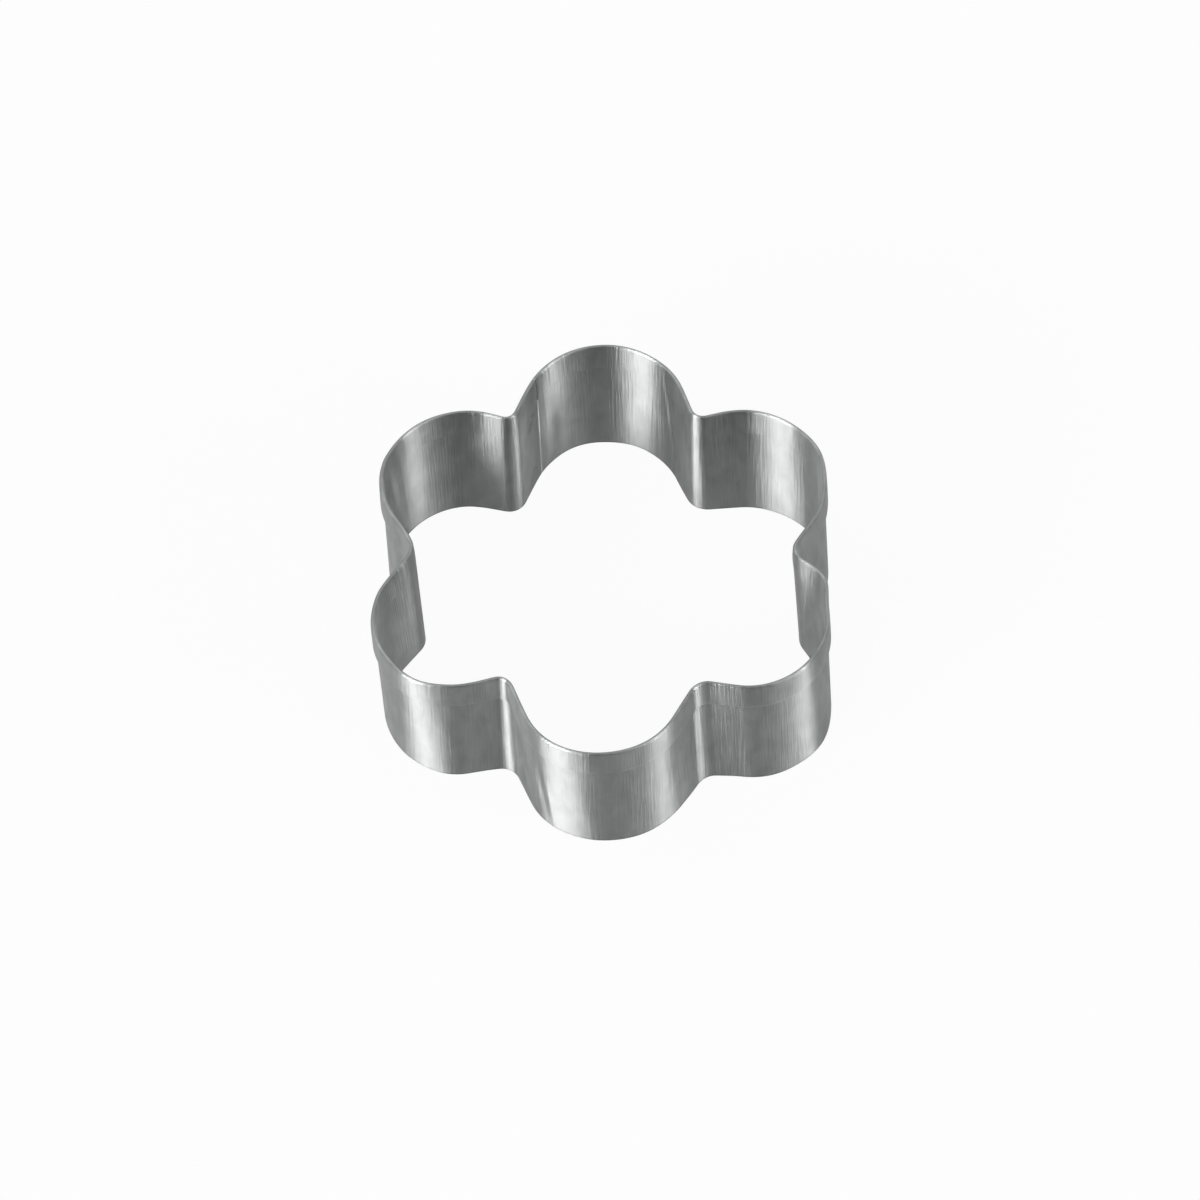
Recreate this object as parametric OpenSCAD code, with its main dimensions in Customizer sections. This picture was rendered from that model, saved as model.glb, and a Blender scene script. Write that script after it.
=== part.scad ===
// Flower cookie cutter, open at both ends.
// One strip of polished stainless steel stands on edge and is bent into a flower. Its top edge is
// folded outwards and pressed flat into a hem, and its two ends are lapped and spot-welded on the
// back petal's left flank. It stands on its cutting edge in z = 0, with the flower's centre over
// the origin and one petal pointing to the back, along +Y.

/* [Flower] */
// Number of petals round the flower
petals = 6; // [5:1:8]
// Inside radius of each petal's round end
petal_r = 12.5; // [8:0.1:20]
// Inside radius of each inward bend, where two petals meet
valley_r = 3.5; // [2.5:0.1:8]
// Length of the straight flank between a round end and an inward bend
flank_len = 4.6; // [3.5:0.1:12]
// Angle by which each flank splays out from its petal's axis
flank_splay = 27; // [15:1:35]

/* [Strip] */
// Height from the cutting edge to the top of the hem
cutter_h = 25; // [18:0.5:50]
// Thickness of the steel sheet
sheet_t = 0.4; // [0.3:0.05:0.5]

/* [Hem] */
// Height of the folded hem, down from the rim
hem_h = 5.2; // [3:0.1:7]
// Slack left between the two thicknesses of the hem
hem_gap = 0.06; // [0.02:0.02:0.1]
// Hairline between the hem's two ends, where the strip closes
hem_slit = 0.15; // [0.1:0.05:0.3]

/* [Lap seam] */
// How far the strip's end that shows reaches round the petal, past the straight flank
end_reach = 0.9; // [0.5:0.1:1.2]
// Length of the tongue that passes behind that end
tongue_len = 4.6; // [4:0.1:7]
// Length of the offset bend that sets the tongue out behind that end
joggle_len = 1.9; // [1.2:0.1:3]
// Slack between the two lapped thicknesses
lap_gap = 0.04; // [0.02:0.01:0.08]
// Distance from the hem down to the tongue's trimmed top
tongue_drop = 0.3; // [0.2:0.1:1]

/* [Spot welds] */
// Diameter of each weld nugget
weld_d = 1.4; // [1:0.1:1.8]
// Distance from the strip's end that shows to the line of the welds
weld_inset = 2.2; // [2:0.1:2.8]
// Height of the lower weld's centre above the cutting edge
lower_weld_up = 3.2; // [1.5:0.1:6]
// Distance from the hem down to the upper weld's centre
upper_weld_drop = 2.2; // [1.2:0.1:5]
// Depth of the electrode's dish in each face of a weld
weld_dish = 0.06; // [0.02:0.01:0.1]

/* [Hidden] */
$fn = 96;

// The rule of the flower, worked out on the strip's inside face. Seen from the centre of the
// back petal's round end, flank_angle is the direction of the point where that end becomes the
// left flank, and to_valley is the way from there over the flank to the centre of the bend.
pitch = 360 / petals;
flank_angle = 180 - flank_splay;
across_flank = [cos(flank_angle), sin(flank_angle)];
down_flank = [-sin(flank_angle), cos(flank_angle)];
to_valley = (petal_r + valley_r) * across_flank + flank_len * down_flank;
// The petals stand as far out as puts each inward bend midway between two of them
petal_centre = [0, -to_valley[0] / tan(pitch / 2) - to_valley[1]];
valley_centre = petal_centre + to_valley;
// Half of the angle through which an inward bend turns
valley_half_turn = flank_angle - 90 - pitch / 2;

// Heights and offsets of the strip's layers, and the height of the fold's axis
wall_h = cutter_h - hem_h;
hem_w = 2 * sheet_t + hem_gap;
fold_z = cutter_h - hem_w / 2;
tongue_offset = sheet_t + lap_gap;
tongue_h = wall_h - tongue_drop;
lapped_t = 2 * sheet_t + lap_gap;

// Directions, from the back petal's centre, of what lies on its round end at the seam
end_angle = flank_angle - arc_angle(end_reach);
joggle_angle = end_angle - arc_angle(joggle_len);
slit_angle = end_angle - arc_angle(hem_slit);
tongue_past_round = tongue_len - end_reach;

// Heights of the welds' centres, and how far down the flank they lie
weld_heights = [lower_weld_up, wall_h - upper_weld_drop];
weld_on_flank = weld_inset - end_reach;

// Sphere that leaves the electrode's dish, and what a cutter needs to pass both faces
dish_r = (pow(weld_d / 2, 2) + pow(weld_dish, 2)) / (2 * weld_dish);
cut_over = 0.5;

// Straight stretches are a hair smaller all round than the round ones and run on into them, so
// that no two of their faces lie in one plane
hair = 0.005;
run_on = 0.1;

// Angle at a petal's centre of a length measured along its inside face
function arc_angle(len) = len / petal_r * 180 / PI;

// Point that lies out from the back petal's inside face, in a direction from that petal's centre
function petal_point(out, angle) = petal_centre + (petal_r + out) * [cos(angle), sin(angle)];

// Each module below sweeps a cross-section along one stretch of the flower. In the section,
// x is the distance out from the strip's inside face, y is the height, and $thin is what a
// straight stretch takes off each face.

// Round end of the back petal, between two directions from its centre
module round_end(from = 180 - flank_angle, to = flank_angle) {
    $thin = 0;
    translate(petal_centre)
        rotate(from)
            rotate_extrude(angle = to - from)
                translate([petal_r, 0])
                    children();
}

// Straight left flank of the back petal, for a length down from its round end
module flank(len = flank_len + run_on) {
    $thin = hair;
    translate(petal_centre)
        rotate(flank_angle)
            translate([petal_r, len])
                rotate([90, 0, 0])
                    linear_extrude(len + run_on)
                        children();
}

// Inward bend on the left of the back petal, for a turn from the back petal's flank
module inward_bend(turn = 2 * valley_half_turn) {
    $thin = 0;
    translate(valley_centre)
        rotate(flank_angle + 180 - turn)
            rotate_extrude(angle = turn)
                translate([valley_r, 0])
                    mirror([1, 0])
                        children();
}

// The stretches between one round end and the next
module between_round_ends() {
    for (side = [0, 1])
        mirror([side, 0, 0])
            flank()
                children();
    inward_bend()
        children();
}

// The whole flower but for the back petal's round end, which holds the seam
module flower_but_seam() {
    for (k = [0 : petals - 1])
        rotate(k * pitch)
            between_round_ends()
                children();
    for (k = [1 : petals - 1])
        rotate(k * pitch)
            round_end()
                children();
}

// Section of the single wall
module wall_section() {
    translate([$thin, 0])
        square([sheet_t - 2 * $thin, wall_h - $thin]);
}

// Section of the tongue, behind the wall
module tongue_section() {
    translate([tongue_offset + $thin, 0])
        square([sheet_t - 2 * $thin, tongue_h - $thin]);
}

// Section of the hem: two thicknesses joined by a round fold at the rim
module hem_section() {
    difference() {
        union() {
            translate([$thin, wall_h + $thin])
                square([hem_w - 2 * $thin, fold_z - wall_h - $thin]);
            translate([hem_w / 2, fold_z])
                circle(hem_w / 2 - $thin);
        }
        translate([sheet_t - $thin, wall_h - cut_over])
            square([hem_gap + 2 * $thin, fold_z - wall_h + cut_over]);
    }
}

// Offset bend from the wall to the tongue, run on a little into both
module joggle() {
    into_wall = joggle_angle - arc_angle(run_on);
    before_tongue = end_angle - arc_angle(run_on);
    into_tongue = end_angle + arc_angle(run_on);
    linear_extrude(tongue_h - hair)
        polygon([
            petal_point(hair, into_wall),
            petal_point(tongue_offset + hair, before_tongue),
            petal_point(tongue_offset + hair, into_tongue),
            petal_point(tongue_offset + sheet_t - hair, into_tongue),
            petal_point(tongue_offset + sheet_t - hair, before_tongue),
            petal_point(sheet_t - hair, into_wall)
        ]);
}

// Tongue of the strip's hidden end: behind the round end, down the flank and, if it is long
// enough, into the inward bend
module tongue() {
    round_end(end_angle, flank_angle)
        tongue_section();
    flank(min(tongue_past_round, flank_len + run_on))
        tongue_section();
    if (tongue_past_round > flank_len)
        inward_bend((tongue_past_round - flank_len) / valley_r * 180 / PI)
            tongue_section();
}

// Places children on the inside face at each weld, with +Z out through both thicknesses
module at_welds() {
    for (height = weld_heights)
        translate(petal_centre)
            rotate(flank_angle)
                translate([petal_r, weld_on_flank, height])
                    rotate([0, 90, 0])
                        children();
}

// Wall of the strip with its cutting edge, its end that shows and its tongue
module cutting_band() {
    color("silver")
        difference() {
            union() {
                flower_but_seam()
                    wall_section();
                round_end(180 - flank_angle, joggle_angle)
                    wall_section();
                round_end(end_angle, flank_angle)
                    wall_section();
                joggle();
                tongue();
            }
            at_welds()
                translate([0, 0, -cut_over])
                    cylinder(h = lapped_t + 2 * cut_over, d = weld_d);
        }
}

// Folded top edge of the strip, a safe rim to press on
module folded_hem() {
    color("gainsboro") {
        flower_but_seam()
            hem_section();
        round_end(180 - flank_angle, slit_angle)
            hem_section();
        round_end(end_angle, flank_angle)
            hem_section();
    }
}

// Weld nuggets that fill the lapped ends, dished on both faces by the electrodes
module spot_welds() {
    color("darkgray")
        at_welds()
            difference() {
                cylinder(h = lapped_t, d = weld_d);
                for (face = [weld_dish - dish_r, lapped_t - weld_dish + dish_r])
                    translate([0, 0, face])
                        sphere(dish_r);
            }
}

cutting_band();
folded_hem();
spot_welds();
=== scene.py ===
import math
from functools import partial

import bmesh
import bpy
import numpy as np
from mathutils import Matrix, Vector


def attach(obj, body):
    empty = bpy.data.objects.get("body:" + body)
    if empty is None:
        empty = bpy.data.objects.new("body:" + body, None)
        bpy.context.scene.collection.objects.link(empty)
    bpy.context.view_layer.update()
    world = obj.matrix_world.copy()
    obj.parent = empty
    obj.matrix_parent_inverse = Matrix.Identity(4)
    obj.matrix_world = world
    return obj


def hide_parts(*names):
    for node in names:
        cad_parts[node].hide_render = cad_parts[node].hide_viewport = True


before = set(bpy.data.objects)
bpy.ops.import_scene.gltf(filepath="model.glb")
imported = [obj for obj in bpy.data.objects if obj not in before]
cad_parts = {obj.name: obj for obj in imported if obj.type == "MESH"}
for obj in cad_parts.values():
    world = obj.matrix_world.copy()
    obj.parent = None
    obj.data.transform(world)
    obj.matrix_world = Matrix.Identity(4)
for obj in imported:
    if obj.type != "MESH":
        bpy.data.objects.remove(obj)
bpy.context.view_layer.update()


# The strip's wall: one band of thin polished stainless sheet, slit to width, stood on edge and
# bent round pegs into six petals. It runs from the end that shows, once round the flower, and
# then steps out by one thickness into the tongue that passes behind its own start.
mm = 0.001
per_m = 1000
petals = 6
petal_r = 12.5
valley_r = 3.5
flank_len = 4.6
flank_splay = 27
cutter_h = 25.0
hem_h = 5.2
sheet_t = 0.4
end_reach = 0.9
tongue_len = 4.6
tongue_drop = 0.3
lap_gap = 0.04
joggle_len = 0.8
wall_h = cutter_h - hem_h

# How the band was bent, as lengths and turns of its inside face, from the end that shows
flank_angle = math.radians(180 - flank_splay)
round_turn = math.radians(180 - 2 * flank_splay)
bend_turn = round_turn - math.tau / petals
one_petal = [(flank_len, 0.0), (valley_r * bend_turn, -bend_turn), (flank_len, 0.0),
             (petal_r * round_turn, round_turn)]
bends = [(end_reach, end_reach / petal_r)] + one_petal * petals
bends[-1] = (bends[-1][0] - end_reach, bends[-1][1] - end_reach / petal_r)
once_round = sum(length for length, turn in bends)

# Where that end lies on the back petal's round end, whose centre is petal_out behind the middle
start_angle = flank_angle - end_reach / petal_r
across_flank = Vector((math.cos(flank_angle), math.sin(flank_angle)))
down_flank = Vector((-across_flank.y, across_flank.x))
to_valley = (petal_r + valley_r) * across_flank + flank_len * down_flank
petal_out = -to_valley.x / math.tan(math.pi / petals) - to_valley.y
strip_start = (Vector((0, petal_out))
               + petal_r * Vector((math.cos(start_angle), math.sin(start_angle))))

# How far the finished strip lies off the regular flower, to the right and to the back, at eight
# places a petal, counter-clockwise from the tip of the back petal: at the rim and at the foot
rim_off = [
    (0.17, -0.01), (0.12, 0.02), (0.12, -0.08), (0.08, -0.52),
    (0.31, -1.00), (0.61, 0.03), (0.39, 0.05), (0.43, -0.04),
    (0.44, -0.20), (0.54, 0.02), (0.80, 0.05), (0.96, 0.03),
    (0.32, -0.33), (-0.73, -1.33), (-0.26, -1.25), (0.16, -1.25),
    (0.90, -1.18), (0.80, -0.70), (0.43, 0.20), (0.49, 0.85),
    (0.29, 1.75), (0.19, 0.90), (0.22, 0.26), (0.24, 0.42),
    (0.16, 0.69), (0.14, 0.73), (-0.13, 0.49), (-0.12, 0.48),
    (0.14, 0.71), (0.07, 0.21), (0.00, -0.06), (0.01, 0.00),
    (-0.20, 0.00), (-0.32, -0.04), (-0.01, -0.35), (1.63, -0.77),
    (-0.08, -0.94), (-0.44, -0.62), (-0.57, -0.58), (-0.65, -0.26),
    (-0.28, -0.33), (-0.24, -0.32), (0.05, -0.17), (-0.37, -0.11),
    (-0.46, -1.07), (-0.01, -0.69), (0.21, -0.38), (0.11, -0.13),
]
foot_off = [
    (0.07, -0.37), (0.07, -0.08), (0.12, -0.20), (0.23, -0.46),
    (0.42, -0.93), (0.42, -0.22), (0.35, -0.02), (0.42, -0.15),
    (0.57, -0.25), (0.64, -0.17), (0.72, -0.09), (0.95, -0.06),
    (1.09, -0.16), (0.68, -0.23), (0.41, -0.30), (0.52, -0.11),
    (0.58, 0.12), (0.37, 0.31), (0.40, 0.27), (0.25, 0.83),
    (0.44, 1.21), (0.41, 0.72), (0.32, 0.62), (0.28, 0.86),
    (0.03, 0.91), (0.13, 0.73), (0.06, 0.34), (0.56, 0.03),
    (0.75, -0.27), (0.34, -0.18), (0.29, -0.44), (0.38, -0.43),
    (0.58, -0.42), (0.26, -0.10), (0.35, -0.11), (0.63, -0.18),
    (0.78, -0.23), (0.43, -0.09), (0.11, 0.21), (-0.19, 0.29),
    (-0.40, 0.14), (-0.37, -0.30), (-0.24, -0.46), (-0.10, -0.47),
    (-0.61, -0.62), (-0.58, -0.53), (-0.19, -0.71), (-0.05, -0.44),
]


def eased_round(values, along):
    # Smooth closed curve through values at even places, and how fast it changes along the strip
    values = np.array(values)
    count = len(values)
    apart = once_round / count
    back_tip = once_round - petal_r * round_turn / 2 + end_reach
    at = np.mod(along - back_tip, once_round) / apart
    before = np.floor(at).astype(int) % count
    after = (before + 1) % count
    part = (at - np.floor(at))[:, None]
    rest = 1 - part
    one = np.eye(count)
    ring = 4 * one + np.roll(one, 1, 0) + np.roll(one, -1, 0)
    bow = np.linalg.solve(ring, 6 * (np.roll(values, -1, 0) - 2 * values + np.roll(values, 1, 0)))
    value = (rest * values[before] + part * values[after]
             + ((rest ** 3 - rest) * bow[before] + (part ** 3 - part) * bow[after]) / 6)
    rate = (values[after] - values[before]
            + ((1 - 3 * rest ** 2) * bow[before] + (3 * part ** 2 - 1) * bow[after]) / 6) / apart
    return value, rate


def bent_line(off, along):
    # Points of the strip's inside face at distances along it, and the directions out from them
    fine_step = 0.02
    fine = np.arange(0.0, once_round + fine_step / 2, fine_step)
    knots = np.cumsum([0.0] + [length for length, turn in bends])
    turned = np.cumsum([start_angle + math.pi / 2] + [turn for length, turn in bends])
    heading = np.interp(fine, knots, turned)
    step = np.gradient(fine)
    x = np.cumsum(np.cos(heading) * step)
    y = np.cumsum(np.sin(heading) * step)
    x -= x[0] + (x[-1] - x[0]) * fine / once_round
    y -= y[0] + (y[-1] - y[0]) * fine / once_round
    lap = np.mod(along, once_round)
    facing = np.interp(lap, fine, heading)
    moved, rate = eased_round(off, along)
    spot = np.stack([strip_start.x + np.interp(lap, fine, x),
                     strip_start.y + np.interp(lap, fine, y)], 1) + moved
    way = np.stack([np.cos(facing), np.sin(facing)], 1) + rate
    way /= np.linalg.norm(way, axis=1)[:, None]
    return spot, np.stack([way[:, 1], -way[:, 0]], 1)


def keep_on(mesh, title, kind, values):
    # Stores a value or a vector at each of a mesh's points
    held = mesh.attributes.new(title, kind, "POINT").data
    held.foreach_set("vector" if kind == "FLOAT_VECTOR" else "value", np.ravel(values))


def path_object(name, along, step_out, tall):
    # The strip's path along its foot, which holds at each point the way up to the rim, the way
    # out, the distance along the strip, and how much of the section's height is left there
    foot, outward = bent_line(foot_off, along)
    rim, rim_outward = bent_line(rim_off, along)
    foot = foot + outward * step_out[:, None]
    rim = rim + rim_outward * step_out[:, None]
    level = np.zeros(len(along))
    line = bpy.data.meshes.new(name)
    line.from_pydata((np.column_stack([foot, level]) * mm).tolist(),
                     [(i, i + 1) for i in range(len(along) - 1)], [])
    keep_on(line, "to_rim", "FLOAT_VECTOR", np.column_stack([rim - foot, level]) * mm)
    keep_on(line, "outward", "FLOAT_VECTOR", np.column_stack([outward, level]))
    keep_on(line, "along", "FLOAT", along * mm)
    keep_on(line, "tall", "FLOAT", tall)
    return bpy.data.objects.new(name, line)


def section_object(name, outline):
    # The strip's cross-section, from distances out from the inside face and heights
    count = len(outline)
    flat = bpy.data.meshes.new(name)
    flat.from_pydata([(out * mm, -height * mm, 0.0) for out, height in outline],
                     [(i, (i + 1) % count) for i in range(count)], [])
    sides = np.hypot(*np.diff(np.array(outline), axis=0).T)
    keep_on(flat, "around", "FLOAT", np.concatenate([[0.0], np.cumsum(sides)]) * mm)
    return bpy.data.objects.new(name, flat)


def feed(node, feeds):
    # Sets what each of a node's inputs holds, or joins it to the output that feeds it
    for socket, given in feeds.items():
        if isinstance(given, bpy.types.NodeSocket):
            node.id_data.links.new(given, node.inputs[socket])
        else:
            node.inputs[socket].default_value = given


def add_node(tree, kind, feeds=None, **settings):
    # Adds a node with its settings, and with what feeds its inputs
    node = tree.nodes.new(kind)
    for setting, value in settings.items():
        setattr(node, setting, value)
    feed(node, feeds or {})
    return node


def maths(tree, operation, *given):
    # Adds a Math node and hands back its result
    return add_node(tree, "ShaderNodeMath", dict(enumerate(given)), operation=operation).outputs[0]


def new_group(name, kind, inputs, outputs):
    # An empty node group with named inputs, each with its first value, and named outputs
    tree = bpy.data.node_groups.new(name, kind)
    for title, socket, value in inputs:
        made = tree.interface.new_socket(title, in_out="INPUT", socket_type="NodeSocket" + socket)
        if value is not None:
            made.default_value = value
    for title, socket in outputs:
        tree.interface.new_socket(title, in_out="OUTPUT", socket_type="NodeSocket" + socket)
    return tree


# Length of strip between two cross-sections, and the depth and length of its soft hollows
sweep_step = 0.2
wave_depth = 0.03
wave_len = 12.0


def sweep_tree():
    # Sweeps a section along the path, leans it from foot to rim, and leaves it a little wavy
    tree = new_group(
        "swept_strip", "GeometryNodeTree",
        [("Geometry", "Geometry", None), ("Section", "Object", None),
         ("Step", "Float", sweep_step * mm), ("Height", "Float", cutter_h * mm),
         ("Wave", "Float", wave_depth * mm), ("Wave length", "Float", wave_len * mm),
         ("Seed", "Float", 3.0), ("Steel", "Material", None)],
        [("Geometry", "Geometry")])
    add, calc = partial(add_node, tree), partial(maths, tree)
    given = add("NodeGroupInput").outputs
    line = add("GeometryNodeMeshToCurve", {"Mesh": given["Geometry"]})
    even = add("GeometryNodeResampleCurve",
               {"Curve": line.outputs["Curve"], "Length": given["Step"]}, mode="LENGTH")
    level = add("GeometryNodeSetCurveNormal", {"Curve": even.outputs["Curve"]}, mode="Z_UP")
    shape = add("GeometryNodeObjectInfo", {"Object": given["Section"]})
    loop = add("GeometryNodeMeshToCurve", {"Mesh": shape.outputs["Geometry"]})
    sweep = add("GeometryNodeCurveToMesh", {"Curve": level.outputs["Curve"], "Fill Caps": True,
                                            "Profile Curve": loop.outputs["Curve"]})

    def held(title, kind):
        made = add("GeometryNodeInputNamedAttribute", {"Name": title}, data_type=kind)
        return made.outputs["Attribute"]

    def vectors(operation, first, second):
        second_socket = "Scale" if operation == "SCALE" else 1
        made = add("ShaderNodeVectorMath", {0: first, second_socket: second}, operation=operation)
        return made.outputs[0]

    # Lean: the way from foot to rim, times the share of the height
    place = add("GeometryNodeInputPosition").outputs["Position"]
    height = add("ShaderNodeSeparateXYZ", {"Vector": place}).outputs["Z"]
    share = calc("DIVIDE", height, given["Height"])
    leaning = vectors("SCALE", held("to_rim", "FLOAT_VECTOR"), share)
    # Trim: takes a share off the height where the strip was trimmed
    trimmed = calc("MULTIPLY", calc("SUBTRACT", held("tall", "FLOAT"), 1.0), height)
    lower = add("ShaderNodeCombineXYZ", {"Z": trimmed}).outputs[0]
    # Wave: soft hollows and swells that rolling and bending leave in thin sheet
    span = vectors("DIVIDE", place, given["Wave length"])
    noise = add("ShaderNodeTexNoise", {"Vector": span, "W": given["Seed"], "Scale": 1.0,
                                       "Detail": 1.0}, noise_dimensions="4D")
    depth = calc("MULTIPLY", calc("SUBTRACT", noise.outputs[0], 0.5), given["Wave"])
    wavy = vectors("SCALE", held("outward", "FLOAT_VECTOR"), depth)
    every = vectors("ADD", vectors("ADD", leaning, wavy), lower)
    moved = add("GeometryNodeSetPosition", {"Geometry": sweep.outputs["Mesh"], "Offset": every})
    smooth = add("GeometryNodeSetShadeSmooth", {"Geometry": moved.outputs["Geometry"]})
    whole = add("GeometryNodeRealizeInstances", {"Geometry": smooth.outputs["Geometry"]})
    coat = add("GeometryNodeSetMaterial",
               {"Geometry": whole.outputs["Geometry"], "Material": given["Steel"]})
    add("NodeGroupOutput", {"Geometry": coat.outputs["Geometry"]})
    return tree


strip_sweep = sweep_tree()
sweep_sockets = {item.name: item.identifier for item in strip_sweep.interface.items_tree
                 if item.in_out == "INPUT"}

# Marks that the bending pegs and handling left: place along the strip, height, half width, half
# height, how far each pushes the sheet outwards, and how far it leans along the strip as it rises
dents = [
    (7.3, 20.6, 0.6, 0.9, 0.05, 0), (7.2, 5.5, 0.6, 1.0, 0.04, 0),
    (214.2, 10.5, 0.4, 8.0, 0.09, 0), (128.6, 12.0, 0.45, 9.0, 0.05, 0),
    (7.6, 23.0, 1.8, 2.0, -0.07, 0), (48.1, 22.6, 1.5, 2.2, 0.06, 0),
    (88.8, 22.8, 1.7, 2.0, -0.06, 0), (129.4, 22.4, 1.5, 2.4, 0.07, 0),
    (170.2, 22.6, 1.6, 2.2, -0.05, 0), (210.9, 22.8, 1.6, 2.2, 0.06, 0),
    (29.5, 21.0, 2.2, 1.6, -0.04, 0), (66.0, 3.5, 2.5, 2.5, 0.03, 0),
    (110.5, 21.5, 2.4, 1.8, 0.04, 0), (190.5, 20.5, 2.0, 1.8, -0.04, 0),
    (229.0, 21.0, 2.2, 1.6, 0.04, 0), (150.0, 4.0, 2.5, 2.4, -0.03, 0),
    (53.8, 22.4, 0.7, 0.8, 0.03, 0), (127.7, 8.0, 0.7, 0.8, 0.03, 0),
    (94.1, 12.0, 0.45, 7.5, -0.15, 0.43), (97.6, 10.0, 0.5, 7.5, 0.09, -0.12),
    (99.0, 9.0, 0.5, 6.5, -0.09, -0.12), (100.3, 8.0, 0.45, 6.0, 0.07, -0.12),
    (219.7, 12.0, 0.4, 9.0, 0.12, 0.14), (241.0, 9.0, 1.3, 7.0, -0.12, 0),
    (29.3, 15.5, 0.9, 7.0, 0.22, 0.1), (189.2, 11.0, 0.7, 8.0, 0.18, 0),
]

# Corners sharper than this stay crisp, and this length of flat strip spans the UV map once
crisp_corner = 35
flat_span = 260.0


def swept(name, path, section, steel):
    # One plain mesh from the sweep, with its dents, and with the flat strip as its UV map
    for drawn in (path, section):
        bpy.context.scene.collection.objects.link(drawn)
    bending = path.modifiers.new("bending", "NODES")
    bending.node_group = strip_sweep
    for title, value in (("Section", section), ("Step", sweep_step * mm),
                         ("Height", cutter_h * mm), ("Steel", steel)):
        bending[sweep_sockets[title]] = value
    seen = path.evaluated_get(bpy.context.evaluated_depsgraph_get())
    skin = bpy.data.meshes.new_from_object(seen)
    skin.name = name
    shell = bmesh.new()
    shell.from_mesh(skin)
    bmesh.ops.triangulate(shell, faces=[f for f in shell.faces if len(f.verts) > 4])
    if shell.calc_volume(signed=True) < 0:
        bmesh.ops.reverse_faces(shell, faces=shell.faces)
    shell.to_mesh(skin)
    shell.free()
    skin.set_sharp_from_angle(angle=math.radians(crisp_corner))

    def read(data, what, kind=np.float32, width=1):
        values = np.zeros(len(data) * width, kind)
        data.foreach_get(what, values)
        return values

    girth = read(skin.attributes["around"].data, "value")
    run = read(skin.attributes["along"].data, "value")
    out = read(skin.attributes["outward"].data, "vector", width=3).reshape(-1, 3)
    spot = read(skin.vertices, "co", width=3).reshape(-1, 3)
    push = np.zeros(len(spot))
    for along, height, half_width, half_height, depth, lean in dents:
        above = spot[:, 2] * per_m - height
        push += depth * np.exp(-((run * per_m - along - lean * above) / half_width) ** 2
                               - (above / half_height) ** 2)
    dented = spot + out * push[:, None] * mm
    skin.vertices.foreach_set("co", dented.astype(np.float32).ravel())
    skin.update()

    # A face that closes the section takes its far end past the girth, and not back to nought
    corner = read(skin.loops, "vertex_index", np.int32)
    first = read(skin.polygons, "loop_start", np.int32)
    flat = np.stack([run[corner], girth[corner]], 1)
    all_round = girth.max()
    for start, size in zip(first, np.diff(np.append(first, len(corner)))):
        part = flat[start:start + size, 1]
        if part.max() - part.min() > 0.5 * all_round:
            part[part < 0.5 * all_round] += all_round + sheet_t * mm
    layer = skin.uv_layers.new(name="flat_strip")
    layer.data.foreach_set("uv", (flat / (flat_span * mm)).astype(np.float32).ravel())
    for extra in ("around", "along", "to_rim", "outward", "tall"):
        if extra in skin.attributes:
            skin.attributes.remove(skin.attributes[extra])
    for drawn in (path, section):
        bpy.data.objects.remove(drawn)
    piece = bpy.data.objects.new(name, skin)
    bpy.context.scene.collection.objects.link(piece)
    return piece


def sheet_marks_group():
    # What rolling, forming and washing leave on bright sheet, laid out on the flat strip: clouds
    # of wear, scratches along it, draw lines up and down it, and soft buckles. Height is in mm.
    group = new_group(
        "sheet_marks", "ShaderNodeTree",
        [("Flat strip", "Vector", None), ("Buckles", "Float", 0.12), ("Draw lines", "Float", 0.05),
         ("Pitting", "Float", 0.012), ("Seed", "Float", 0.0)],
        [("Clouds", "Float"), ("Scratches", "Float"), ("Height", "Float")])
    add, calc = partial(add_node, group), partial(maths, group)
    given = add("NodeGroupInput").outputs
    in_mm = add("ShaderNodeVectorMath", {0: given["Flat strip"], "Scale": flat_span},
                operation="SCALE")
    shift = add("ShaderNodeCombineXYZ", {"Z": given["Seed"]})
    place = add("ShaderNodeVectorMath", {0: in_mm.outputs[0], 1: shift.outputs[0]},
                operation="ADD")

    def pattern(along, up, detail, bend=0.0):
        # Noise whose grains are this long along the strip and this tall, in mm
        size = add("ShaderNodeVectorMath", {0: place.outputs[0], 1: (1 / along, 1 / up, 1.0)},
                   operation="MULTIPLY")
        return add("ShaderNodeTexNoise", {"Vector": size.outputs[0], "Scale": 1.0,
                                          "Detail": detail, "Distortion": bend}).outputs[0]

    def ranged(value, low, high):
        return add("ShaderNodeMapRange",
                   {"Value": value, "From Min": low, "From Max": high}).outputs[0]

    clouds = ranged(pattern(2.0, 5.0, 4.0, 0.4), 0.32, 0.68)
    scratches = ranged(pattern(5.0, 0.24, 2.0, 0.3), 0.7, 0.84)
    height = calc("MULTIPLY", pattern(4.5, 22.0, 1.0), given["Buckles"])
    height = calc("MULTIPLY_ADD", pattern(0.35, 9.0, 3.0), given["Draw lines"], height)
    height = calc("MULTIPLY_ADD", pattern(0.9, 6.0, 2.0), given["Pitting"], height)
    add("NodeGroupOutput", {"Clouds": clouds, "Scratches": scratches, "Height": height})
    return group


sheet_marks = sheet_marks_group()


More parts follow.
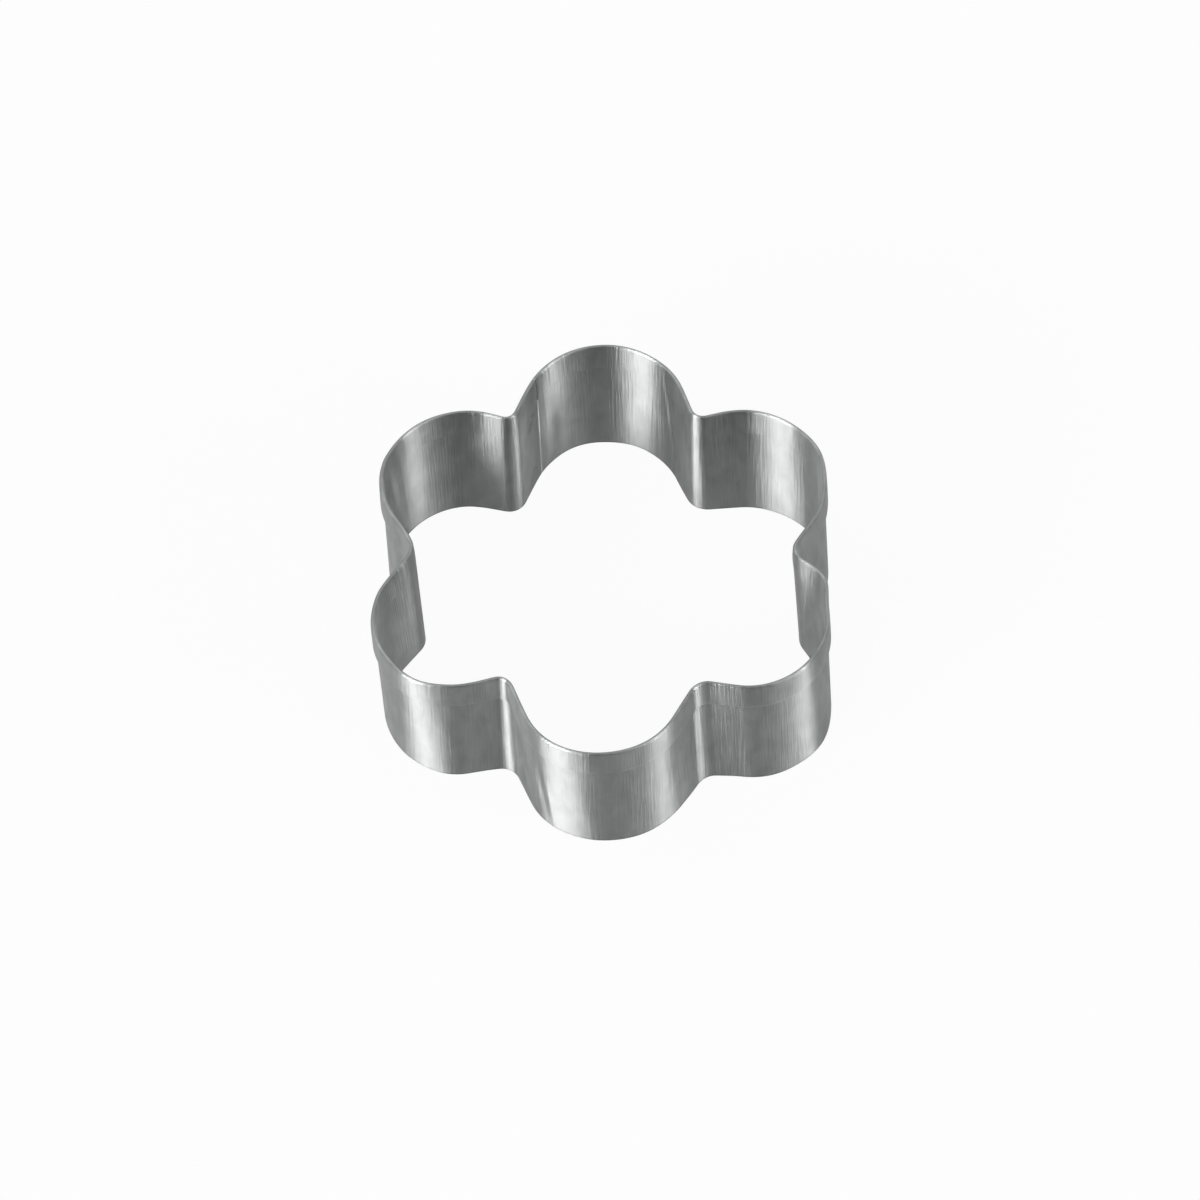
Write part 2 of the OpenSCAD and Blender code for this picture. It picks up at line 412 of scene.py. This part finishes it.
def edge_shade_and_wear_group():
    # How close each point lies to the cutting edge and to the top of the rim, in patches: the mask
    # for the painted line of shade along the cutting edge and for the rim rubbed bright by use
    group = new_group(
        "edge_shade_and_wear", "ShaderNodeTree",
        [("Place", "Vector", None), ("Height", "Float", cutter_h * mm),
         ("Reach", "Float", 0.5 * mm)],
        [("Wear", "Float")])
    add, calc = partial(add_node, group), partial(maths, group)
    given = add("NodeGroupInput").outputs
    from_foot = add("ShaderNodeSeparateXYZ", {"Vector": given["Place"]}).outputs["Z"]
    nearest = calc("MINIMUM", from_foot, calc("SUBTRACT", given["Height"], from_foot))
    share = add("ShaderNodeMapRange",
                {"Value": nearest, "From Max": given["Reach"], "To Min": 1.0, "To Max": 0.0})
    patchy = add("ShaderNodeTexNoise", {"Vector": given["Place"], "Scale": 420.0, "Detail": 3.0})
    add("NodeGroupOutput", {"Wear": calc("MULTIPLY", share.outputs[0], patchy.outputs[0])})
    return group


edge_shade_and_wear = edge_shade_and_wear_group()


def electrode_mark_group():
    # The faint raised ring and dull halo that one touch of an electrode leaves, with sizes in mm
    group = new_group(
        "electrode_mark", "ShaderNodeTree",
        [("Flat strip", "Vector", None), ("Centre", "Vector", None), ("Radius", "Float", None),
         ("Lip", "Float", None)],
        [("Halo", "Float"), ("Height", "Float")])
    add, calc = partial(add_node, group), partial(maths, group)
    given = add("NodeGroupInput").outputs
    in_mm = add("ShaderNodeVectorMath", {0: given["Flat strip"], "Scale": flat_span},
                operation="SCALE")
    away = add("ShaderNodeVectorMath", {0: in_mm.outputs[0], 1: given["Centre"]},
               operation="DISTANCE")
    past = calc("DIVIDE", away.outputs["Value"], given["Radius"])

    def eased(start, end, low, high):
        # Goes softly from low to high between two distances, in radii
        return add("ShaderNodeMapRange", {"Value": past, "From Min": start, "From Max": end,
                                          "To Min": low, "To Max": high},
                   interpolation_type="SMOOTHSTEP").outputs[0]

    ring = calc("MULTIPLY", eased(0.72, 1.0, 0, 1), eased(1.0, 1.3, 1, 0))
    add("NodeGroupOutput", {"Halo": eased(0.9, 2.2, 1, 0),
                            "Height": calc("MULTIPLY", ring, given["Lip"])})
    return group


electrode_mark = electrode_mark_group()

# How much smoother touch leaves the edges, and the tint of the steel round a weld
touched_smoother = -0.12
weld_halo = (0.86, 0.85, 0.83)


def polished_sheet(name, seed, clean, cloudy, rubbed, edge, rough_low, rough_high, buckles,
                   touches=()):
    # Bright-rolled stainless, whose fine lines along the strip draw reflections out up and down.
    # The colours are of clean and clouded sheet, of scratches, and of the edges: on the strip the
    # edge colour is painted shade along the cutting edge, and on the rim it is metal rubbed bright.
    steel = bpy.data.materials.new(name)
    steel.use_nodes = True
    tree = steel.node_tree
    add, calc = partial(add_node, tree), partial(maths, tree)
    layout = add("ShaderNodeUVMap", uv_map="flat_strip").outputs[0]
    along = add("ShaderNodeTangent", direction_type="UV_MAP", uv_map="flat_strip").outputs[0]
    place = add("ShaderNodeTexCoord").outputs["Object"]
    marks = add("ShaderNodeGroup", {"Flat strip": layout, "Buckles": buckles, "Seed": seed},
                node_tree=sheet_marks).outputs
    shade_and_wear = add("ShaderNodeGroup", {"Place": place}, node_tree=edge_shade_and_wear).outputs["Wear"]

    def blended(share, under, over, way="MIX"):
        return add("ShaderNodeMix", {"Factor": share, "A": under, "B": over}, data_type="RGBA",
                   blend_type=way).outputs["Result"]

    colour = blended(marks["Clouds"], (*clean, 1), (*cloudy, 1))
    colour = blended(marks["Scratches"], colour, (*rubbed, 1))
    # On the strip this paints a thin dark line of shade along the cutting edge; on the rim it is
    # metal rubbed bright
    colour = blended(shade_and_wear, colour, (*edge, 1))
    rough = add("ShaderNodeMapRange",
                {"Value": marks["Clouds"], "To Min": rough_low, "To Max": rough_high}).outputs[0]
    height = marks["Height"]
    for along_strip, up_wall, radius, lip in touches:
        touch = add("ShaderNodeGroup", {"Flat strip": layout, "Centre": (along_strip, up_wall, 0),
                                        "Radius": radius, "Lip": lip},
                    node_tree=electrode_mark).outputs
        height = calc("ADD", height, touch["Height"])
        colour = blended(touch["Halo"], colour, (*weld_halo, 1), "MULTIPLY")
    relief = add("ShaderNodeBump", {"Height": height, "Distance": mm, "Strength": 1.0})
    feed(tree.nodes["Principled BSDF"],
         {"Base Color": colour, "Metallic": 1.0, "Normal": relief.outputs[0], "Tangent": along,
          "Roughness": calc("MULTIPLY_ADD", shade_and_wear, touched_smoother, rough),
          "Anisotropic": 1.0, "Anisotropic Rotation": 0.25})
    return steel


# A thin dark line of painted shade runs along the cutting edge. The electrodes touched the strip at
# each weld, and once more beside the upper one: place along the strip, height, radius and lip.
strip_steel = polished_sheet(
    "polished_strip_steel", seed=0.0, clean=(0.432, 0.442, 0.44), cloudy=(0.36, 0.368, 0.366),
    rubbed=(0.5, 0.51, 0.51), edge=(0.16, 0.16, 0.155), rough_low=0.44, rough_high=0.46,
    buckles=0.12,
    touches=[(2.2, 17.55, 0.78, 0.035), (2.2, 3.15, 0.78, 0.035), (2.5, 15.75, 0.62, 0.025)])

# The wall's section: square-cut edges, eased a little by the slitting rolls
ease = 0.05
rows_up_wall = 30
wall_rows = np.linspace(ease, wall_h, rows_up_wall)
wall_outline = ([(0.0, z) for z in wall_rows] + [(sheet_t, z) for z in wall_rows[::-1]]
                + [(sheet_t - ease, 0.0), (ease, 0.0)])

# The offset bend starts just before the end that shows, and the tongue's trim just after it
path_step = 0.04
joggle_before = 0.3
trim_after = 0.3
trim_len = 0.3
wall_run = np.arange(0.0, once_round + tongue_len + path_step / 2, path_step)
step = np.clip((wall_run - (once_round - joggle_before)) / joggle_len, 0, 1)
wall_step_out = (sheet_t + lap_gap) * (3 * step ** 2 - 2 * step ** 3)
trim = np.clip((wall_run - (once_round + trim_after)) / trim_len, 0, 1)
wall = swept("strip_wall",
             path_object("wall_path", wall_run, wall_step_out, 1 - tongue_drop / wall_h * trim),
             section_object("wall_section", wall_outline), strip_steel)
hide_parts("cutting_band")
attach(wall, "root")


# The hem: the strip's own top edge, folded outwards over a bar and pressed flat against the
# wall, so that the hand presses on a smooth doubled rim, which use has rubbed bright.
hem_gap = 0.06
hem_slit = 0.15
hem_w = 2 * sheet_t + hem_gap
below_top = 0.002
fold_z = cutter_h - hem_w / 2 - below_top

# Pressing rounded both faces off towards the fold and hollowed the inner one a little
inner_round = 0.10
inner_hollow = 0.035
outer_round = 0.05
rows_up_hem = 9
points_on_fold = 19
hem_rows = np.linspace(wall_h, fold_z, rows_up_hem)
up_hem = (hem_rows - wall_h) / (fold_z - wall_h)
inner_lean = inner_round * up_hem ** 3 - inner_hollow * np.sin(math.pi * up_hem)
outer_lean = outer_round * up_hem ** 3
fold = np.linspace(math.pi, 0, points_on_fold)
fold_r = (hem_w - inner_lean[-1] - outer_lean[-1]) / 2
fold_x = inner_lean[-1] + fold_r
hem_outline = ([(x, z) for x, z in zip(inner_lean[:-1], hem_rows[:-1])]
               + [(fold_x + fold_r * math.cos(a), fold_z + hem_w / 2 * math.sin(a)) for a in fold]
               + [(hem_w - x, z) for x, z in zip(outer_lean[::-1][1:-1], hem_rows[::-1][1:-1])]
               + [(hem_w, wall_h + 2 * ease), (hem_w - ease, wall_h), (hem_w - sheet_t, wall_h)]
               + [(hem_w - sheet_t, fold_z), (hem_w / 2, fold_z + hem_gap / 2), (sheet_t, fold_z)]
               + [(sheet_t, wall_h)])
rim_steel = polished_sheet(
    "pressed_rim_steel", seed=40.0, clean=(0.438, 0.448, 0.446), cloudy=(0.366, 0.374, 0.372),
    rubbed=(0.525, 0.535, 0.535), edge=(0.46, 0.475, 0.475), rough_low=0.44, rough_high=0.47,
    buckles=0.2)
hem_run = np.arange(0.0, once_round - hem_slit, path_step)
hem = swept("folded_rim",
            path_object("hem_path", hem_run, np.zeros(len(hem_run)), np.ones(len(hem_run))),
            section_object("hem_section", hem_outline), rim_steel)
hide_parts("folded_hem")
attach(hem, "root")


# The spot welds: two nuggets where the electrodes pressed and fused the lapped ends together.
# Each face is a shallow dish with a raised lip round it, of grainier and darker metal.
weld_inset = 2.2
lower_weld_up = 3.2
upper_weld_drop = 2.2
weld_sides = 40
lapped_t = 2 * sheet_t + lap_gap

# Half of a nugget's face, as distances from its middle and how far it stands off the sheet
weld_face = [(0.0, 0.005), (0.2, 0.008), (0.36, 0.018), (0.48, 0.035), (0.56, 0.04),
             (0.64, 0.028), (0.7, -0.03)]
weld_steel = bpy.data.materials.new("fused_weld_steel")
weld_steel.use_nodes = True
weld_node = partial(add_node, weld_steel.node_tree)
weld_place = weld_node("ShaderNodeTexCoord").outputs["Object"]
weld_grain = weld_node("ShaderNodeTexNoise", {"Vector": weld_place, "Scale": 3000.0}).outputs[0]
weld_tone = weld_node("ShaderNodeMix", {"Factor": weld_grain, "A": (0.37, 0.37, 0.38, 1),
                                        "B": (0.22, 0.22, 0.22, 1)}, data_type="RGBA")
weld_rough = weld_node("ShaderNodeMapRange", {"Value": weld_grain, "To Min": 0.2, "To Max": 0.45})
weld_relief = weld_node("ShaderNodeBump",
                        {"Height": weld_grain, "Distance": 0.02 * mm, "Strength": 1.0})
feed(weld_steel.node_tree.nodes["Principled BSDF"],
     {"Base Color": weld_tone.outputs["Result"], "Metallic": 1.0,
      "Roughness": weld_rough.outputs[0], "Normal": weld_relief.outputs[0]})

weld_shell = bmesh.new()
for height in (lower_weld_up, wall_h - upper_weld_drop):
    share = height / cutter_h
    foot, foot_out = (found[0] for found in bent_line(foot_off, np.array([weld_inset])))
    rim, rim_out = (found[0] for found in bent_line(rim_off, np.array([weld_inset])))
    centre = Vector((*(foot * (1 - share) + rim * share), height))
    out = Vector((*(foot_out * (1 - share) + rim_out * share), 0)).normalized()
    side = Vector((0, 0, 1)).cross(out)
    rings = []
    for r, depth in ([(r, -proud) for r, proud in weld_face]
                     + [(r, lapped_t + proud) for r, proud in weld_face[::-1]]):
        turns = [math.tau * i / weld_sides for i in range(weld_sides)] if r else [0.0]
        rings.append([weld_shell.verts.new((centre + out * depth + side * (r * math.cos(a))
                                            + Vector((0, 0, r * math.sin(a)))) * mm)
                      for a in turns])
    for low, high in zip(rings, rings[1:]):
        for i in range(weld_sides):
            j = (i + 1) % weld_sides
            corners = (low[i % len(low)], low[j % len(low)],
                       high[j % len(high)], high[i % len(high)])
            weld_shell.faces.new(list(dict.fromkeys(corners)))
bmesh.ops.recalc_face_normals(weld_shell, faces=weld_shell.faces)
weld_mesh = bpy.data.meshes.new("spot_weld_nuggets")
weld_shell.to_mesh(weld_mesh)
weld_shell.free()
weld_mesh.materials.append(weld_steel)
weld_mesh.shade_smooth()
welds = bpy.data.objects.new("spot_weld_nuggets", weld_mesh)
bpy.context.scene.collection.objects.link(welds)
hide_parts("spot_welds")
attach(welds, "root")


# The floor: a sheet of pale paper just under the cutter. The camera sees it nearly white, the
# steel sees a part of that white, and it takes the cutter's soft shadow.
floor_reach = 3.0
floor_z = -0.05 * mm
paper_colour = (0.55, 0.55, 0.55)
white_share = 0.95
white_in_steel = 0.38
floor_mesh = bpy.data.meshes.new("floor")
floor_mesh.from_pydata([(-floor_reach, -floor_reach, floor_z), (floor_reach, -floor_reach, floor_z),
                        (floor_reach, floor_reach, floor_z), (-floor_reach, floor_reach, floor_z)],
                       [], [(0, 1, 2, 3)])
paper = bpy.data.materials.new("white_paper")
paper.use_nodes = True
paper.node_tree.nodes.clear()
paper_node, paper_maths = partial(add_node, paper.node_tree), partial(maths, paper.node_tree)
rays = paper_node("ShaderNodeLightPath").outputs
in_steel = paper_maths("MULTIPLY", paper_maths("ADD", rays["Is Glossy Ray"],
                                               rays["Is Transmission Ray"]), white_in_steel)
shown = paper_maths("MULTIPLY", paper_maths("ADD", rays["Is Camera Ray"], in_steel), white_share)
paper_plain = paper_node("ShaderNodeBsdfDiffuse", {"Color": (*paper_colour, 1)})
paper_white = paper_node("ShaderNodeEmission", {"Strength": 1.0})
paper_mix = paper_node("ShaderNodeMixShader", {"Fac": shown, 1: paper_plain.outputs[0],
                                               2: paper_white.outputs[0]})
paper_node("ShaderNodeOutputMaterial", {"Surface": paper_mix.outputs[0]})
floor_mesh.materials.append(paper)
floor = bpy.data.objects.new("floor", floor_mesh)
bpy.context.scene.collection.objects.link(floor)


# The light: a plain room with soft white panels, the broadest to the left of the camera and
# others to its right and behind the flower. Each stop is a brightness at a share of the way
# round the room, from behind the flower by the left, the camera and the right to behind again.
camera_azimuth = 2.823
panels = [
    ((-6, 0, 12, 18),
     [(0, 0), (0.083, 0), (0.153, 0.14), (0.194, 0.1), (0.228, 0.15), (0.256, 0), (0.278, 0.07),
      (0.3, 0.29), (0.322, 0), (0.389, 0), (0.417, 0.05), (0.45, 0), (0.656, 0), (0.683, 0.28),
      (0.706, 0), (0.806, 0), (0.856, 0.3), (0.917, 0), (1, 0)]),
    ((12, 18, 32, 38),
     [(0, 0), (0.153, 0), (0.194, 0.01), (0.228, 0), (0.256, 0.03), (0.278, 0.07), (0.3, 0),
      (0.322, 1.3), (0.344, 2.4), (0.367, 2.24), (0.389, 1.91), (0.417, 1.14), (0.45, 0),
      (0.611, 0), (0.656, 0.85), (0.683, 1.85), (0.706, 0.25), (0.722, 0), (0.756, 0),
      (0.775, 0.16), (0.806, 0), (1, 0)]),
    ((32, 38, 62, 72),
     [(0, 0.15), (0.083, 0.12), (0.153, 0.12), (0.194, 0.43), (0.228, 0), (0.3, 0),
      (0.322, 0.03), (0.344, 0.16), (0.367, 0.03), (0.389, 0.01), (0.417, 0), (0.556, 0),
      (0.611, 0.29), (0.656, 0), (0.683, 0), (0.706, 0.09), (0.722, 0), (0.775, 0),
      (0.806, 0.19), (0.856, 0.03), (0.917, 0.12), (1, 0.15)]),
]
panel_light = 8.5
overhead_from = (62, 72)
overhead_light = 0.85
room = bpy.data.worlds.new("room")
bpy.context.scene.world = room
room.use_nodes = True


def room_light():
    # Adds up the panels, each kept between elevations at which it comes and goes, in degrees
    tree = room.node_tree
    tree.nodes.clear()
    add, calc = partial(add_node, tree), partial(maths, tree)
    facing = add("ShaderNodeTexCoord").outputs["Generated"]
    way = add("ShaderNodeSeparateXYZ", {"Vector": facing}).outputs
    turn = calc("ARCTAN2", way["X"], calc("MULTIPLY", way["Y"], -1.0))
    around = calc("FRACT", calc("ADD", calc("DIVIDE", turn, math.tau),
                                0.5 - camera_azimuth / 360))

    def eased(start, end, low, high):
        # Goes softly from low to high between two elevations
        return add("ShaderNodeMapRange",
                   {"Value": way["Z"], "From Min": math.sin(math.radians(start)),
                    "From Max": math.sin(math.radians(end)), "To Min": low, "To Max": high},
                   interpolation_type="SMOOTHSTEP").outputs[0]

    def ramp(stops):
        made = add("ShaderNodeValToRGB", {"Fac": around})
        steps = made.color_ramp.elements
        for place, light in stops[1:-1]:
            steps.new(place)
        for step, (place, light) in zip(steps, stops):
            step.position = place
            step.color = (light, light, light, 1)
        return made.outputs["Color"]

    total = None
    for (low, full, fade, top), stops in panels:
        band = calc("MULTIPLY", eased(low, full, 0.0, 1.0), eased(fade, top, 1.0, 0.0))
        panel = calc("MULTIPLY", ramp(stops), band)
        total = calc("ADD", total, panel) if total else panel
    light = calc("ADD", calc("MULTIPLY", total, panel_light),
                 eased(*overhead_from, 0.0, overhead_light))
    sky = add("ShaderNodeBackground", {"Color": (1, 1, 1, 1), "Strength": light})
    add("ShaderNodeOutputWorld", {"Surface": sky.outputs[0]})


room_light()


# The camera: the photograph's viewpoint, high in front and rolled a little, through a long
# lens. The focal length is in the photograph's pixels, and the rest in degrees and metres.
camera_elevation = 55.987
camera_roll = -2.647
camera_target = Vector((-0.00105, 0.00722, 0.0))
camera_distance = 1.1967
focal_pixels = 7669.8
photo_pixels = 1200
azimuth, elevation, roll = map(math.radians, (camera_azimuth, camera_elevation, camera_roll))
back = Vector((math.sin(azimuth) * math.cos(elevation), -math.cos(azimuth) * math.cos(elevation),
               math.sin(elevation)))
level_right = (-back).cross(Vector((0, 0, 1))).normalized()
level_up = level_right.cross(-back)
right = level_right * math.cos(roll) + level_up * math.sin(roll)
up = level_up * math.cos(roll) - level_right * math.sin(roll)
lens = bpy.data.cameras.new("camera")
lens.sensor_width = 36.0
lens.lens = focal_pixels / photo_pixels * lens.sensor_width
lens.clip_start = 0.05
lens.clip_end = 20.0
camera = bpy.data.objects.new("camera", lens)
camera.matrix_world = (Matrix.Translation(camera_target + back * camera_distance)
                       @ Matrix((right, up, back)).transposed().to_4x4())
bpy.context.scene.collection.objects.link(camera)
bpy.context.scene.camera = camera
bpy.context.scene.view_settings.view_transform = "Standard"
